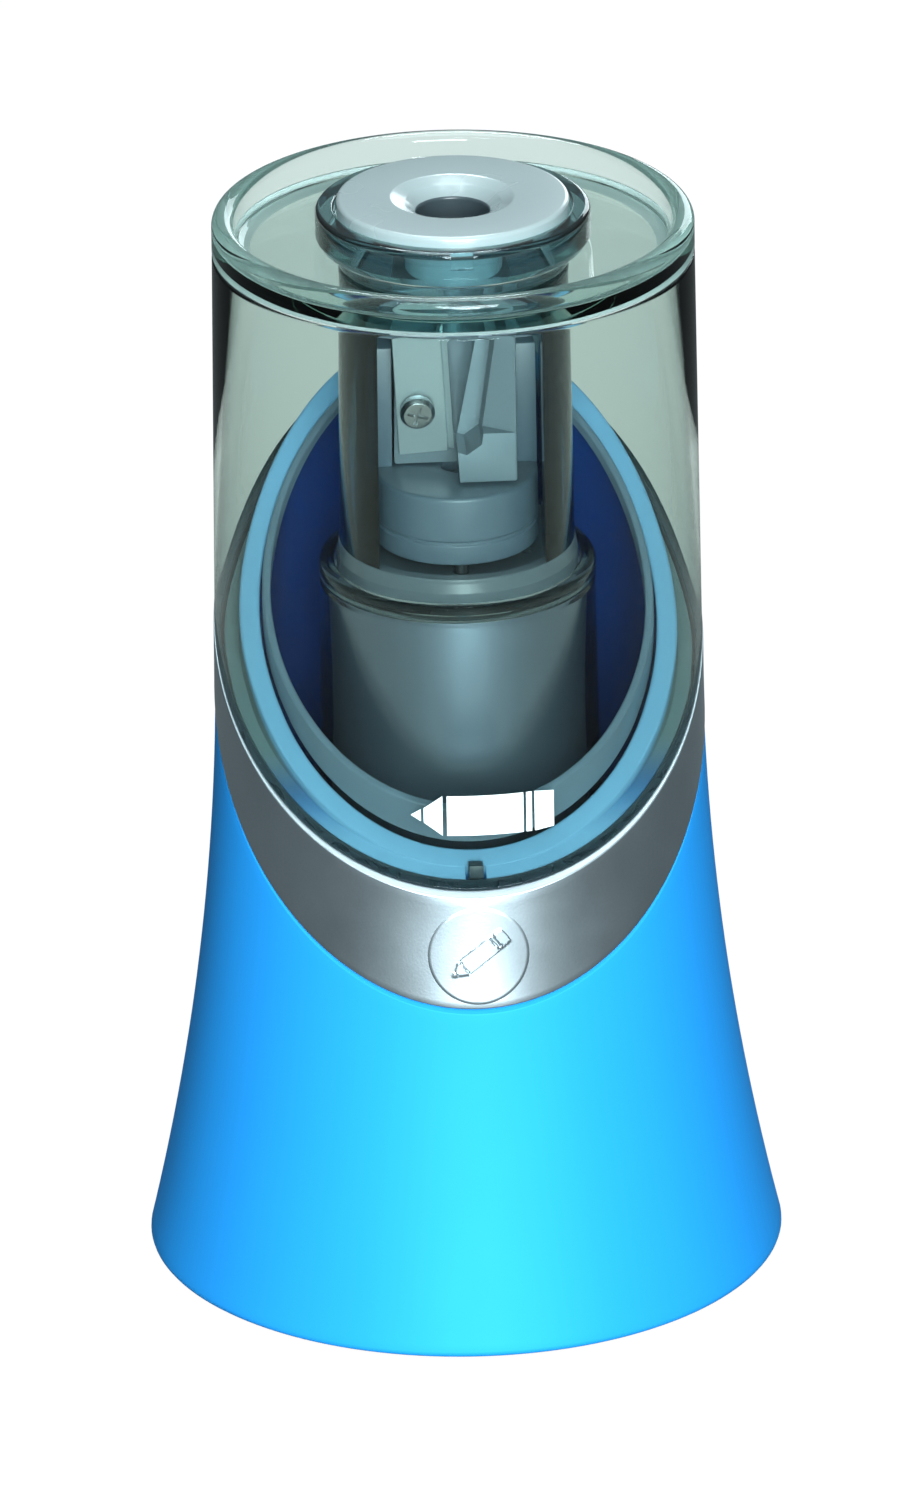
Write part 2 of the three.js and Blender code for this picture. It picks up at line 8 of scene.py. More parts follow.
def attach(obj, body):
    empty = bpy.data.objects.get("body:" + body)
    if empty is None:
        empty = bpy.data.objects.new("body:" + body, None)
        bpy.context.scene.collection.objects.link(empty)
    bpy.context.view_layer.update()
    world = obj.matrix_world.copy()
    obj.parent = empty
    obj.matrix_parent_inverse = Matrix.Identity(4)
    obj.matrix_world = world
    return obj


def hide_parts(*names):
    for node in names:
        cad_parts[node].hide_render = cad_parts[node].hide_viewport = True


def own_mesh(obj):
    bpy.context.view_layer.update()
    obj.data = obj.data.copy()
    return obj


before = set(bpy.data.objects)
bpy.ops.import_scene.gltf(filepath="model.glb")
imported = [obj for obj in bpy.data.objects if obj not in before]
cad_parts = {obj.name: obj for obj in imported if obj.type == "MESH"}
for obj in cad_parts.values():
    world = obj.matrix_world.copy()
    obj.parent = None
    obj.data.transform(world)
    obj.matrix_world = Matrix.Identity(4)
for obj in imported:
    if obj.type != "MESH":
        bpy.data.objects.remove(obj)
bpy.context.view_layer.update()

# The object's lengths are written in millimetres and turned into metres where a mesh is made.
MM = 0.001
TINY = 1e-9             # lengths below this count as nothing
MERGE = 1e-7            # metres; points closer than this become one
SHARP_ANGLE = 35        # degrees; an edge that turns more than this stays sharp
AROUND = 144            # steps round a large turned piece
FRONT = -math.pi / 2    # the angle of the object's front, -Y

WAIST_R = 30.4
WAIST_Z = 80.7
FLARE = 660
TAPER = 0.0107
SHELL_WALL = 2.2
LAND_R = 28.6                 # bore of the shell and the band, which the bowl drops into
BAND_PROUD = 0.12             # how far the band stands out from the shell
LEDGE_R = 30.25               # the band's inner ledge, hidden under the cover's edge
# up to this radius the band's upward faces take painted shade
LEDGE_EDGE_R = 30.26
BAND_LOW = (73.9, 0.908)      # oblique planes: height on the axis, rise towards the rear
BAND_TOP = (82.9, 0.759)
BOWL_RIM = (86.2, 0.904)
LINER_RIM = (88.4, 0.826)
BOWL_BORE_R = 17.8
BOWL_INNER_R = 24.5
BOWL_WALL_R = 26.85
BOWL_FOOT_R = 28.3
LINER_BORE_R = 17.9
LINER_INNER_R = 23.2
LINER_MIDDLE_R = 23.7
LINER_OUTER_R = 24.2
SEAM_Z = 133.2
RIM_Z = 138.05
LID_FLOOR_Z = 134.4
LID_BORE_R = 14.95
LID_FROST_R = 25.2            # outside this the lid's underside is frosted
COVER_INNER_R = 29.1
PLATE_TOP = 140.3
MOUTH_R = 4.5
HOUSING_TOP = 92.3
TOWER_FLOOR = 91.3
TOWER_TOP = 130.2
TOWER_BORE_R = 13.1
PEG_Y = -8
CONE_APEX_Z = 107
CONE_ANGLE = math.radians(11.5)
BLADE_SKEW = -3.4
SCREW_ALONG = 5.6             # the blade screw, from the cone's apex and from the axis
SCREW_ACROSS = -4.6
WINDOW_HALF = 10.3
JACK_Z = 14
SCREW_CIRCLE_R = 31
SCREW_TURNS = (45, 135, 225, 315)
FOOT_CIRCLE_R = 30
FOOT_TURNS = (0, 90, 180, 270)
EMBLEM_R = 6.3
EMBLEM_Z = 51.8
SCREW_SLOT = "steel"


# ---- mesh tools ---------------------------------------------------------------------------------
def outer_radius(z):
    drop = WAIST_Z - z
    return WAIST_R + drop * drop / FLARE if drop > 0 else WAIST_R + drop * TAPER


def plane_height(plane, radius, angle):
    return plane[0] + plane[1] * radius * math.sin(angle)


def cut_height(plane, angle, extra=0.0):
    """Height where the flared outline meets an oblique plane."""
    z = plane[0]
    for _ in range(12):
        z = plane_height(plane, outer_radius(z), angle) + extra
    return z


def rounded(corners, steps=5):
    """A closed outline of (radius, height, fillet) corners, each fillet as an arc."""
    points = []
    count = len(corners)
    for i, (r, z, fillet) in enumerate(corners):
        here = Vector((r, z))
        if fillet <= 0:
            points.append((r, z))
            continue
        before = Vector(corners[i - 1][:2]) - here
        after = Vector(corners[(i + 1) % count][:2]) - here
        reach = min(before.length, after.length) * 0.49
        half = before.angle(after) / 2
        size = min(fillet, reach * math.tan(half))
        pull = size / math.tan(half)
        start = here + before.normalized() * pull
        end = here + after.normalized() * pull
        centre = here + (before.normalized() + after.normalized()).normalized() * (size / math.sin(half))
        a, b = start - centre, end - centre
        sweep = a.angle(b)
        for k in range(steps + 1):
            t = k / steps
            arm = (a * math.sin((1 - t) * sweep) + b * math.sin(t * sweep)) / math.sin(sweep)
            points.append(tuple(centre + arm))
    return points


def make_object(name, mesh):
    piece = bpy.data.objects.new(name, mesh)
    bpy.context.scene.collection.objects.link(piece)
    return piece


def smooth_faces(bm, sharp_angle):
    limit = math.radians(sharp_angle)
    for face in bm.faces:
        face.smooth = True
    for edge in bm.edges:
        edge.smooth = edge.calc_face_angle(0.0) < limit


def finish_mesh(bm, name, sharp_angle=SHARP_ANGLE):
    bmesh.ops.remove_doubles(bm, verts=bm.verts, dist=MERGE)
    bmesh.ops.recalc_face_normals(bm, faces=bm.faces)
    if bm.calc_volume(signed=True) < 0:
        bmesh.ops.reverse_faces(bm, faces=bm.faces)
    smooth_faces(bm, sharp_angle)
    mesh = bpy.data.meshes.new(name)
    bm.to_mesh(mesh)
    bm.free()
    return make_object(name, mesh)


def bridge(bm, rows):
    """Faces between neighbouring closed rows of vertices."""
    for first, second in zip(rows, rows[1:]):
        for k in range(len(first)):
            j = (k + 1) % len(first)
            bm.faces.new((first[k], first[j], second[j], second[k]))


def cap_ends(bm, rows):
    bm.faces.new(rows[0])
    bm.faces.new(list(reversed(rows[-1])))


def turned(name, section, steps=AROUND, sharp_angle=SHARP_ANGLE):
    """A solid of revolution whose closed section may change with the angle."""
    bm = bmesh.new()
    rows = []
    for i in range(steps):
        angle = 2 * math.pi * i / steps
        rows.append([bm.verts.new((r * MM * math.cos(angle), r * MM * math.sin(angle), z * MM))
                     for r, z in section(angle)])
    for i, row in enumerate(rows):
        following = rows[(i + 1) % steps]
        for j in range(len(row)):
            k = (j + 1) % len(row)
            j_on_axis, k_on_axis = [(row[n].co - following[n].co).length < TINY for n in (j, k)]
            if j_on_axis and k_on_axis:
                continue
            corners = [row[j], row[k]]
            if not k_on_axis:
                corners.append(following[k])
            if not j_on_axis:
                corners.append(following[j])
            bm.faces.new(corners)
    return finish_mesh(bm, name, sharp_angle)


def plain_turned(name, corners, steps=AROUND, arc_steps=5):
    outline = rounded(corners, arc_steps)
    return turned(name, lambda angle: outline, steps)


def block(name, low, high):
    bm = bmesh.new()
    bmesh.ops.create_cube(bm, size=1)
    for vert in bm.verts:
        vert.co = Vector([(low[k] + (vert.co[k] + 0.5) * (high[k] - low[k])) * MM for k in range(3)])
    return finish_mesh(bm, name)


def drum(name, radius, low, high, steps=48, centre=(0, 0)):
    outline = [(0, low), (radius, low), (radius, high), (0, high)]
    piece = turned(name, lambda angle: outline, steps)
    piece.data.transform(Matrix.Translation((centre[0] * MM, centre[1] * MM, 0)))
    return piece


def prism(name, outline, low, high):
    """An outline in x and y, extruded upward."""
    bm = bmesh.new()
    floor = [bm.verts.new((x * MM, y * MM, low * MM)) for x, y in outline]
    top = [bm.verts.new((x * MM, y * MM, high * MM)) for x, y in outline]
    bm.faces.new(floor)
    bm.faces.new(list(reversed(top)))
    for i in range(len(outline)):
        k = (i + 1) % len(outline)
        bm.faces.new((floor[i], top[i], top[k], floor[k]))
    return finish_mesh(bm, name)


def shift(piece, x, y, z):
    piece.data.transform(Matrix.Translation((x * MM, y * MM, z * MM)))
    return piece


def lay_along_y(piece, x, y, z):
    """Turns a piece from the Z axis to the Y axis, then moves it."""
    piece.data.transform(Matrix.Translation((x * MM, y * MM, z * MM)) @ Matrix.Rotation(math.pi / 2, 4, "X"))
    return piece


def around_axis(radius, turns):
    return [(radius * math.cos(math.radians(turn)), radius * math.sin(math.radians(turn))) for turn in turns]


def settle(piece):
    """Applies the piece's modifiers to its mesh."""
    graph = bpy.context.evaluated_depsgraph_get()
    mesh = bpy.data.meshes.new_from_object(piece.evaluated_get(graph))
    piece.modifiers.clear()
    piece.data = mesh


def combine(piece, tool, operation):
    modifier = piece.modifiers.new("combine", "BOOLEAN")
    modifier.operation = operation
    modifier.solver = "EXACT"
    modifier.object = tool
    settle(piece)
    bpy.data.objects.remove(tool)


def carve(piece, *tools):
    for tool in tools:
        combine(piece, tool, "DIFFERENCE")
    return piece


def weld(piece, *tools):
    for tool in tools:
        combine(piece, tool, "UNION")
    return piece


def soften(piece, width, segments=2, angle=38):
    """Rounds the edges left by cuts and marks what is still sharp."""
    bevel = piece.modifiers.new("soften", "BEVEL")
    bevel.width = width * MM
    bevel.segments = segments
    bevel.limit_method = "ANGLE"
    bevel.angle_limit = math.radians(angle)
    bevel.use_clamp_overlap = True
    settle(piece)
    return shade(piece)


def shade(piece, sharp_angle=SHARP_ANGLE):
    bm = bmesh.new()
    bm.from_mesh(piece.data)
    bmesh.ops.remove_doubles(bm, verts=bm.verts, dist=MERGE)
    smooth_faces(bm, sharp_angle)
    bm.to_mesh(piece.data)
    bm.free()
    return piece


# ---- materials ----------------------------------------------------------------------------------
def linear(r, g, b):
    """An sRGB colour from 0 to 255 as the linear colour that shaders take."""
    def one(value):
        value /= 255
        return value / 12.92 if value <= 0.04045 else ((value + 0.055) / 1.055) ** 2.4
    return (one(r), one(g), one(b), 1.0)


def calculate(tree, operation, *values):
    """A Math node on numbers or on the outputs of other nodes."""
    node = tree.nodes.new("ShaderNodeMath")
    node.operation = operation
    for socket, value in zip(node.inputs, values):
        if isinstance(value, (int, float)):
            socket.default_value = value
        else:
            tree.links.new(value, socket)
    return node.outputs["Value"]


def ramp(tree, value, low, high, top=1.0, ease="LINEAR"):
    """0 at low and before it, top at high and beyond it."""
    node = tree.nodes.new("ShaderNodeMapRange")
    node.interpolation_type = ease
    node.inputs["From Min"].default_value = low
    node.inputs["From Max"].default_value = high
    node.inputs["To Max"].default_value = top
    tree.links.new(value, node.inputs["Value"])
    return node.outputs["Result"]


def coordinates(tree, kind):
    """The X, Y and Z outputs of a texture coordinate."""
    place_node = tree.nodes.new("ShaderNodeTexCoord")
    split = tree.nodes.new("ShaderNodeSeparateXYZ")
    tree.links.new(place_node.outputs[kind], split.inputs["Vector"])
    return [split.outputs[axis] for axis in "XYZ"]


class Material:
    """A Principled material with object-space noise for its grain, mottling and bump."""

    def __init__(self, name, color, roughness, **sockets):
        self.material = bpy.data.materials.new(name)
        self.material.use_nodes = True
        self.nodes = self.material.node_tree.nodes
        self.links = self.material.node_tree.links
        self.shader = self.nodes["Principled BSDF"]
        self.shader.inputs["Base Color"].default_value = color
        self.shader.inputs["Roughness"].default_value = roughness
        for socket, value in sockets.items():
            self.shader.inputs[socket.replace("_", " ")].default_value = value
        self.color = color
        self.roughness = roughness

    def noise(self, scale, detail=2.0, stretch=(1, 1, 1)):
        place = self.nodes.new("ShaderNodeTexCoord")
        mapping = self.nodes.new("ShaderNodeMapping")
        mapping.inputs["Scale"].default_value = stretch
        texture = self.nodes.new("ShaderNodeTexNoise")
        texture.inputs["Scale"].default_value = scale
        texture.inputs["Detail"].default_value = detail
        self.links.new(place.outputs["Object"], mapping.inputs["Vector"])
        self.links.new(mapping.outputs["Vector"], texture.inputs["Vector"])
        return texture.outputs["Fac"]

    def bump(self, scale, height, detail=2.0, stretch=(1, 1, 1)):
        node = self.nodes.new("ShaderNodeBump")
        node.inputs["Strength"].default_value = 1.0
        node.inputs["Distance"].default_value = height * MM
        self.links.new(self.noise(scale, detail, stretch), node.inputs["Height"])
        self.links.new(node.outputs["Normal"], self.shader.inputs["Normal"])
        return self

    def vary_roughness(self, scale, spread, stretch=(1, 1, 1)):
        ramp = self.nodes.new("ShaderNodeMapRange")
        ramp.inputs["To Min"].default_value = max(self.roughness - spread, 0.0)
        ramp.inputs["To Max"].default_value = self.roughness + spread
        self.links.new(self.noise(scale, 3.0, stretch), ramp.inputs["Value"])
        self.links.new(ramp.outputs["Result"], self.shader.inputs["Roughness"])
        return self

    def vary_color(self, scale, amount, stretch=(1, 1, 1)):
        mix = self.nodes.new("ShaderNodeMix")
        mix.data_type = "RGBA"
        mix.inputs["A"].default_value = tuple(c * (1 - amount) for c in self.color[:3]) + (1,)
        mix.inputs["B"].default_value = tuple(min(c * (1 + amount), 1) for c in self.color[:3]) + (1,)
        self.links.new(self.noise(scale, 2.0, stretch), mix.inputs["Factor"])
        self.links.new(mix.outputs["Result"], self.shader.inputs["Base Color"])
        return self

    def pass_light(self, tint):
        """Lets lamps light what stands behind clear plastic."""
        output = self.nodes["Material Output"]
        path = self.nodes.new("ShaderNodeLightPath")
        through = self.nodes.new("ShaderNodeBsdfTransparent")
        through.inputs["Color"].default_value = tint
        mix = self.nodes.new("ShaderNodeMixShader")
        self.links.new(path.outputs["Is Shadow Ray"], mix.inputs["Fac"])
        self.links.new(self.shader.outputs["BSDF"], mix.inputs[1])
        self.links.new(through.outputs["BSDF"], mix.inputs[2])
        self.links.new(mix.outputs["Shader"], output.inputs["Surface"])
        return self


def clear_plastic(name, tint, absorbed, roughness=0.015, shadow=(0.92, 0.95, 0.95, 1), ior=1.46):
    """Clear plastic tinted where light crosses its skin, and a little more by its depth in metres."""
    plastic = Material(name, (*tint, 1), roughness, Transmission_Weight=1.0, IOR=ior)
    plastic.bump(60, 0.012)
    plastic.vary_roughness(35, 0.01)
    volume = plastic.nodes.new("ShaderNodeVolumeAbsorption")
    density = max(absorbed) * 1.25
    volume.inputs["Color"].default_value = tuple(1 - a / density for a in absorbed) + (1,)
    volume.inputs["Density"].default_value = density
    plastic.links.new(volume.outputs["Volume"], plastic.nodes["Material Output"].inputs["Volume"])
    return plastic.pass_light(shadow).material


def bowl_material():
    """Blue with painted light: navy painted shade inside the bowl, brighter outside, a painted reflection of the
    cover's edge on the front of the outer wall, and a painted highlight that glows along the cut rim.
    """
    # Navy base colour: painted shade on the bowl's inside.
    navy = (0.004, 0.022, 0.10, 1)
    bowl = Material("blue_with_painted_light", navy, 0.25, Specular_IOR_Level=0.12)
    bowl.bump(900, 0.001).vary_roughness(60, 0.05)
    tree = bowl.material.node_tree
    x, y, z = coordinates(tree, "Object")

    def smooth_step(value, low, high):
        return ramp(tree, value, low * MM, high * MM, ease="SMOOTHSTEP")

    above = calculate(tree, "SUBTRACT", z, calculate(tree, "MULTIPLY", y, BOWL_RIM[1]))
    # Painted highlight: light blue just under the cut rim, where the rounded rim catches the lamps.
    rim = smooth_step(above, BOWL_RIM[0] - 1.5, BOWL_RIM[0] - 0.4)
    squares = [calculate(tree, "MULTIPLY", axis, axis) for axis in (x, y)]
    radius = calculate(tree, "SQRT", calculate(tree, "ADD", *squares))
    outside = smooth_step(radius, 26.3, 26.7)
    # Painted reflection: greyish blue on the front of the outer wall, standing in for the cover's bottom edge seen
    # against it.
    front_edge_reflection = calculate(tree, "MULTIPLY", outside, smooth_step(y, -21, -12))
    streaks = calculate(tree, "MULTIPLY", bowl.noise(18, 3.0, (1, 1, 0.3)), 0.12)
    # Over the navy painted shade: a brighter blue outside, the painted reflection at the front, the painted
    # highlight at the rim, and random darker streaks.
    color = navy
    for mask, tint in ((outside, (0.01, 0.07, 0.19, 1)), (front_edge_reflection, (0.075, 0.11, 0.115, 1)),
                       (rim, (0.11, 0.235, 0.35, 1)), (streaks, (0.0, 0.01, 0.05, 1))):
        mix = tree.nodes.new("ShaderNodeMix")
        mix.data_type = "RGBA"
        tree.links.new(mask, mix.inputs["Factor"])
        if color is navy:
            mix.inputs["A"].default_value = color
        else:
            tree.links.new(color, mix.inputs["A"])
        mix.inputs["B"].default_value = tint
        color = mix.outputs["Result"]
    tree.links.new(color, bowl.shader.inputs["Base Color"])
    return bowl


blue_shell = Material("blue_satin", (0.016, 0.29, 0.76, 1), 0.6, Metallic=0.2, Specular_IOR_Level=0.12)
blue_shell.bump(2600, 0.006, 2.0).vary_roughness(90, 0.04).vary_color(25, 0.03)
bowl_blue = bowl_material()
satin_silver = Material("satin_silver", (0.50, 0.57, 0.61, 1), 0.36, Metallic=1.0)
satin_silver.bump(3600, 0.008, 3.0).vary_roughness(120, 0.05).vary_color(3000, 0.06)
# Painted shade: near-black for the band's ledge under the cover's edge and for the cover's key in the keyway
# notch, where shade falls.
painted_shade_dark = Material("painted_shade_dark", (0.012, 0.022, 0.03, 1), 0.4)
painted_shade_dark.bump(1800, 0.006).vary_roughness(90, 0.06).vary_color(80, 0.1)
smoke_cover = clear_plastic("smoke_cover", (0.68, 0.775, 0.745), (80, 60, 68), ior=1.2)
smoke_lid = clear_plastic("smoke_lid", (0.74, 0.84, 0.82), (45, 26, 32), ior=1.33)
seam_frost = Material("seam_frosted", (0.42, 0.52, 0.51, 1), 0.42, Transmission_Weight=0.8, IOR=1.33)
seam_frost.bump(500, 0.006).vary_roughness(60, 0.05).vary_color(60, 0.03).pass_light((0.9, 0.93, 0.93, 1))
smoke_collar = clear_plastic("smoke_collar", (0.60, 0.72, 0.75), (160, 110, 100))
smoke_tower = clear_plastic("smoke_tower", (0.19, 0.28, 0.33), (330, 250, 220), 0.04,
                            shadow=(0.6, 0.67, 0.7, 1))
smoke_housing = clear_plastic("smoke_housing", (0.72, 0.76, 0.78), (110, 90, 80), 0.04)
liner_clear = clear_plastic("smoke_liner", (0.86, 0.92, 0.96), (60, 40, 30), 0.02, ior=1.2)
liner_frost = Material("smoke_liner_rim", (0.085, 0.125, 0.16, 1), 0.3, Transmission_Weight=0.2, IOR=1.46)
liner_frost.bump(500, 0.01).vary_roughness(60, 0.06).vary_color(60, 0.08).pass_light((0.6, 0.66, 0.68, 1))
tower_frost = Material("smoke_tower_frosted", (0.085, 0.105, 0.12, 1), 0.28, Transmission_Weight=0.3, IOR=1.46)
tower_frost.bump(400, 0.008).vary_roughness(60, 0.06).vary_color(60, 0.06).pass_light((0.5, 0.56, 0.6, 1))
housing_core = Material("grey_core", (0.29, 0.31, 0.36, 1), 0.32, Metallic=0.9)
housing_core.bump(1800, 0.004).vary_roughness(80, 0.06, (1, 1, 0.2)).vary_color(60, 0.06, (1, 1, 0.15))
cap_grey = Material("cap_grey", (0.27, 0.325, 0.33, 1), 0.27, Coat_Weight=0.5, Coat_Roughness=0.08)
cap_grey.bump(2400, 0.004).vary_roughness(70, 0.05).vary_color(40, 0.03)
# Painted shade: dark grey for the deep inside of the pencil mouth, which is the cap's own grey plastic in shade.
tube_painted_shade = Material("mouth_painted_shade", (0.045, 0.062, 0.07, 1), 0.3)
tube_painted_shade.bump(1200, 0.006).vary_roughness(80, 0.06).vary_color(60, 0.06)
carrier_grey = Material("carrier_grey", (0.055, 0.078, 0.10, 1), 0.4)
carrier_grey.bump(1800, 0.006).vary_roughness(80, 0.06).vary_color(60, 0.05)
cast_alloy = Material("cast_alloy", (0.14, 0.175, 0.20, 1), 0.42, Metallic=0.4)
cast_alloy.bump(1500, 0.012, 4.0, (1, 1, 0.3)).vary_roughness(200, 0.1).vary_color(300, 0.06)
blade_steel = Material("blade_steel", (0.36, 0.41, 0.43, 1), 0.36, Metallic=0.7)
blade_steel.bump(2500, 0.004, 3.0, (0.15, 1, 1)).vary_roughness(300, 0.08, (0.15, 1, 1)).vary_color(60, 0.06)
screw_steel = Material("screw_steel", linear(176, 180, 182), 0.24, Metallic=1.0)
screw_steel.bump(1200, 0.006).vary_roughness(300, 0.08).vary_color(200, 0.08)
motor_steel = Material("motor_steel", linear(150, 154, 156), 0.3, Metallic=1.0)
motor_steel.bump(900, 0.005).vary_roughness(120, 0.1, (1, 1, 0.1)).vary_color(200, 0.06)
brass = Material("brass", linear(206, 172, 92), 0.3, Metallic=1.0)
brass.bump(1200, 0.005).vary_roughness(200, 0.08).vary_color(120, 0.06)
nylon = Material("nylon", linear(226, 222, 206), 0.48, Subsurface_Weight=0.1, Subsurface_Scale=0.002)
nylon.bump(900, 0.008).vary_roughness(100, 0.06).vary_color(80, 0.04)
black_plastic = Material("black_plastic", linear(34, 36, 38), 0.5)
black_plastic.bump(2200, 0.012).vary_roughness(120, 0.08).vary_color(90, 0.1)
foot_rubber = Material("foot_rubber", linear(44, 45, 47), 0.85)
foot_rubber.bump(1800, 0.03, 4.0).vary_roughness(200, 0.05).vary_color(150, 0.12)
board_green = Material("board_green", linear(30, 92, 52), 0.4)
board_green.bump(600, 0.02).vary_roughness(80, 0.08).vary_color(200, 0.15)
lead_red = Material("lead_red", linear(170, 34, 34), 0.45)
lead_red.bump(800, 0.01).vary_roughness(100, 0.05).vary_color(90, 0.06)
print_white = Material("print_white", linear(240, 248, 248), 0.55)
print_white.bump(3000, 0.004).vary_roughness(150, 0.05).vary_color(400, 0.02)


def place(piece, material, body, slot, *nodes):
    """Gives a piece its material and its body, and hides the CAD nodes that it replaces; slot is not used."""
    piece.data.materials.clear()
    piece.data.materials.append(getattr(material, "material", material))
    for polygon in piece.data.polygons:
        polygon.material_index = 0
    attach(piece, body)
    if nodes:
        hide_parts(*nodes)
    return piece


def second_material(piece, material, chosen):
    """Another material for the faces that chosen(radius, height, rise of the normal) picks."""
    piece.data.materials.append(material.material)
    for polygon in piece.data.polygons:
        middle = polygon.center / MM
        if chosen(math.hypot(middle.x, middle.y), middle.z, polygon.normal.z):
            polygon.material_index = 1


# ---- camera -------------------------------------------------------------------------------------
TARGET_Z = 66.08            # height on the axis at the middle of the picture
DISTANCE = 2162.5
AZIMUTH = math.radians(3.6)
ELEVATION = math.radians(22.95)
ROLL = math.radians(0.78)
LENS = 415.2


def make_camera():
    forward = Vector((math.sin(AZIMUTH) * math.cos(ELEVATION), math.cos(AZIMUTH) * math.cos(ELEVATION),
                      -math.sin(ELEVATION)))
    right = Vector((math.cos(AZIMUTH), -math.sin(AZIMUTH), 0))
    up = right.cross(forward)
    turned_right = right * math.cos(ROLL) - up * math.sin(ROLL)
    turned_up = right * math.sin(ROLL) + up * math.cos(ROLL)
    data = bpy.data.cameras.new("camera")
    data.lens = LENS
    data.clip_start = 0.05
    data.clip_end = 20
    camera = bpy.data.objects.new("camera", data)
    bpy.context.scene.collection.objects.link(camera)
    turn = Matrix((turned_right, turned_up, -forward)).transposed().to_4x4()
    spot = Vector((0, 0, TARGET_Z * MM)) - forward * DISTANCE * MM
    camera.matrix_world = Matrix.Translation(spot) @ turn
    bpy.context.scene.camera = camera


make_camera()


# ---- studio -------------------------------------------------------------------------------------
LAMP_COLOR = (0.84, 0.96, 1.0)
ROOM_COLOR = (0.78, 0.93, 0.97, 1)
WHITE = (1, 1, 1, 1)
FLOOR_REACH = 3


def area_lamp(name, spot, target, size, power):
    """A soft box that the camera doesn't see; places and sizes in metres, power in watts."""
    data = bpy.data.lights.new(name, "AREA")
    data.shape = "RECTANGLE"
    data.size, data.size_y = size
    data.energy = power
    data.color = LAMP_COLOR
    lamp = bpy.data.objects.new(name, data)
    bpy.context.scene.collection.objects.link(lamp)
    lamp.location = spot
    aim = Vector(target) - Vector(spot)
    lamp.rotation_euler = aim.to_track_quat("-Z", "Y").to_euler()
    lamp.visible_camera = False
    lamp.visible_transmission = False


def make_world(seen=1.0, around=0.15, overhead=0.4):
    """White behind the object and through its clear parts, and a dim room in its reflections."""
    world = bpy.data.worlds.new("studio")
    bpy.context.scene.world = world
    world.use_nodes = True
    tree = world.node_tree
    path = tree.nodes.new("ShaderNodeLightPath").outputs
    rise = coordinates(tree, "Generated")[2]

    not_scattered = calculate(tree, "LESS_THAN", path["Diffuse Depth"], 0.5)
    through = calculate(tree, "MULTIPLY", path["Is Transmission Ray"], ramp(tree, rise, 0.35, 0.15))
    straight = calculate(tree, "MULTIPLY", not_scattered, through)
    in_view = calculate(tree, "MAXIMUM", path["Is Camera Ray"], straight)
    brighter = ramp(tree, rise, 0.15, 0.5, overhead - around)

    room = tree.nodes["Background"]
    room.inputs["Color"].default_value = ROOM_COLOR
    tree.links.new(calculate(tree, "MULTIPLY_ADD", brighter, not_scattered, around), room.inputs["Strength"])
    white = tree.nodes.new("ShaderNodeBackground")
    white.inputs["Color"].default_value = WHITE
    white.inputs["Strength"].default_value = seen
    mix = tree.nodes.new("ShaderNodeMixShader")
    tree.links.new(in_view, mix.inputs["Fac"])
    tree.links.new(room.outputs["Background"], mix.inputs[1])
    tree.links.new(white.outputs["Background"], mix.inputs[2])
    tree.links.new(mix.outputs["Shader"], tree.nodes["World Output"].inputs["Surface"])


def make_floor():
    """A light table: pale, softly lit from inside, and kept out of the object's reflections."""
    bm = bmesh.new()
    bm.faces.new([bm.verts.new((x * FLOOR_REACH, y * FLOOR_REACH, 0))
                  for x, y in ((-1, -1), (1, -1), (1, 1), (-1, 1))])
    mesh = bpy.data.meshes.new("floor")
    bm.to_mesh(mesh)
    bm.free()
    floor = make_object("floor", mesh)
    table = Material("floor_table", (0.04, 0.04, 0.04, 1), 0.8)
    table.shader.inputs["Emission Color"].default_value = WHITE
    table.shader.inputs["Emission Strength"].default_value = 0.975
    table.shader.inputs["Specular IOR Level"].default_value = 0.0
    table.bump(200, 0.01).vary_color(3, 0.01)
    mesh.materials.append(table.material)
    floor.visible_glossy = False
    floor.visible_diffuse = False


make_world()
make_floor()
bpy.context.scene.view_settings.view_transform = "Standard"
area_lamp("front_box", (0.06, -1.2, 0.5), (0, 0, 0.06), (0.6, 0.6), 33)
area_lamp("low_box", (0.04, -1.2, 0.16), (0, 0, 0.06), (0.26, 0.24), 8)
area_lamp("strip_box", (-0.25, -0.75, 1.0), (0, 0, 0.13), (0.5, 0.06), 2)
area_lamp("back_box", (0.5, 1.3, 0.45), (0, 0, 0.06), (0.6, 0.6), 5)
area_lamp("top_box", (0, 0.1, 1.1), (0, 0, 0.1), (0.6, 0.6), 6)
area_lamp("rear_box", (0, 0.7, 0.95), (0, 0, 0.13), (0.3, 0.15), 4)


# ---- base ---------------------------------------------------------------------------------------
def base_shell():
    bottom, gap, samples = 0.8, 0.28, 26

    def section(angle):
        top = cut_height(BAND_LOW, angle, -gap)
        inner_top = plane_height(BAND_LOW, LAND_R, angle) - gap
        corners = [(outer_radius(bottom) - SHELL_WALL, bottom, 0.3), (outer_radius(bottom), bottom, 0.9)]
        for i in range(1, samples):
            z = bottom + (top - bottom) * i / samples
            corners.append((outer_radius(z), z, 0))
        corners.append((outer_radius(top), top, 0.3))
        corners.append((LAND_R, inner_top, 0.2))
        for i in range(samples - 1, 0, -1):
            z = bottom + (inner_top - bottom) * i / samples
            corners.append((max(outer_radius(z) - SHELL_WALL, LAND_R), z, 0))
        return rounded(corners)

    shell = turned("base_shell_skin", section)
    carve(shell, lay_along_y(drum("jack_hole", 4.5, -10, 10), 0, 36, JACK_Z))
    for x, y in around_axis(SCREW_CIRCLE_R, SCREW_TURNS):
        post = plain_turned("post", [(1.4, 5, 0), (3.2, 5, 0.2), (3.2, 34, 0), (1.4, 34, 0)], 24)
        shift(post, x, y, 0)
        weld(shell, carve(post, drum("trim", 60, 20, 40)))
    return shade(shell)


